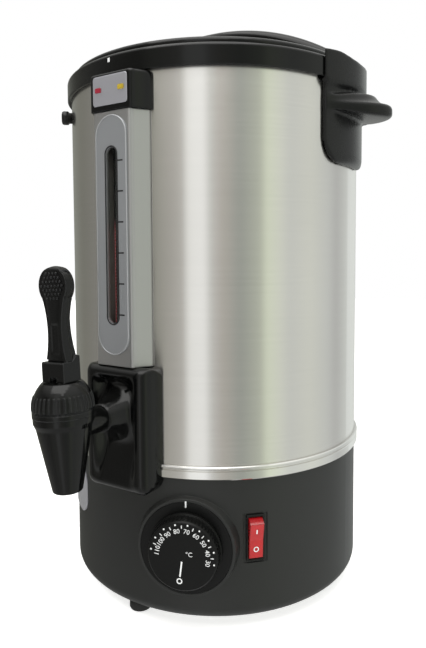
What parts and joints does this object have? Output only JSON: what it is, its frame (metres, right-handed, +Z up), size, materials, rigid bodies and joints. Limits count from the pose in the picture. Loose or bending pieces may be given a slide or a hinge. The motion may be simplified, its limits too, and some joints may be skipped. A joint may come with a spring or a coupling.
{
  "type": "hot water urn",
  "caption": "Cylindrical electric hot water urn with a spring tap, sight glass, dial thermostat, rocker switch, side handles and a lift-off lid with an arched grip.",
  "frame": {"origin": "on the standing plane, at the axis of the shell", "axes": "+Z up along the shell's axis, -Y to the front where the tap is, +X to the right as seen from the front"},
  "size_m": [0.322, 0.343, 0.4715],
  "materials": {
    "base_plastic": "fine matt moulded",
    "gloss_black": "polished moulded",
    "black_plastic": "semi-gloss moulded",
    "brushed_shell": "brushed round the shell",
    "tank_steel": "satin rolled",
    "chrome": "polished",
    "column_silver": "satin silver",
    "gauge_grey": "satin grey with printed marks",
    "plate_silver": "satin",
    "clear_glass": "clear",
    "strip_print": "printed red and white hatch",
    "rubber": "matt",
    "silicone": "matt",
    "red_seal": "matt",
    "screw_steel": "plated",
    "red_lens": "translucent",
    "amber_lens": "translucent",
    "red_rocker": "translucent with white marks",
    "knob_black": "fine matt with white print",
    "control_body": "moulded",
    "copper": "bright",
    "heater_metal": "cast",
    "element_sheath": "heat darkened",
    "ceramic": "matt"
  },
  "bodies": {
    "urn": {"base_housing": "base_plastic", "bottom_cover": "tank_steel", "feet": "rubber", "cover_screws": "screw_steel", "trim_band": "chrome", "outer_shell": "brushed_shell", "inner_tank": "tank_steel", "rim_ring": "black_plastic", "side_plate": "plate_silver", "gauge_column": "column_silver", "gauge_plate": "gauge_grey", "sight_tube": "clear_glass", "level_strip": "strip_print", "tube_elbows": "screw_steel", "tube_seals": "rubber", "column_screws": "screw_steel", "lamp_housing": "black_plastic", "lamp_plate": "plate_silver", "lamp_red": "red_lens", "lamp_amber": "amber_lens", "tap_cover": "gloss_black", "tap_body": "gloss_black", "tap_seals": "red_seal", "tap_nut": "black_plastic", "tap_bonnet": "gloss_black", "tap_spring": "screw_steel", "dial_plate": "knob_black", "thermostat": "control_body", "thermostat_nut": "screw_steel", "thermostat_bulb": "copper", "switch_body": "black_plastic", "handle_right": "black_plastic", "handle_left": "black_plastic", "handle_screws": "screw_steel", "heater_plate": "heater_metal", "heating_element": "element_sheath", "heater_nuts": "screw_steel", "thermal_cutout": "element_sheath", "terminal_block": "ceramic", "cord_gland": "black_plastic", "gland_nut": "black_plastic"},
    "lid": {"lid_cover": "gloss_black", "lid_handle": "gloss_black", "lid_gasket": "silicone", "lid_screws": "screw_steel"},
    "valve": {"valve_stem": "screw_steel", "seat_cup": "silicone", "lever_pin": "screw_steel"},
    "lever": {"tap_lever": "gloss_black"},
    "dial": {"dial_shaft": "screw_steel", "dial_knob": "knob_black"},
    "rocker": {"switch_rocker": "red_rocker"}
  },
  "joints": [
    {"name": "lid_lift", "type": "slide", "parent": "urn", "child": "lid", "axis": [0, 0, 1], "range_m": [0, 0.15]},
    {"name": "stem_lift", "type": "slide", "parent": "urn", "child": "valve", "axis": [-0.0523, 0, 0.9986], "range_m": [0, 0.0034], "stiffness_N_per_m": 400, "springref_m": -0.005, "deforming": ["tap_spring"]},
    {"name": "lever_tilt", "type": "hinge", "parent": "valve", "child": "lever", "pos_m": [-0.00209, -0.187, 0.19845], "axis": [0.9986, 0, 0.0523], "range_deg": [0, 36]},
    {"name": "dial_turn", "type": "hinge", "parent": "urn", "child": "dial", "pos_m": [0.04895, -0.11935, 0.063], "axis": [-0.3795, 0.9252, 0], "range_deg": [-187, 80]},
    {"name": "rocker_press", "type": "hinge", "parent": "urn", "child": "rocker", "pos_m": [0.08572, -0.08512, 0.068], "axis": [-0.7046, -0.7096, 0], "range_deg": [0, 16]}
  ],
  "couplings": [
    {"joint": "lever_tilt", "follows": "stem_lift", "rad_per_m": 179.6}
  ]
}
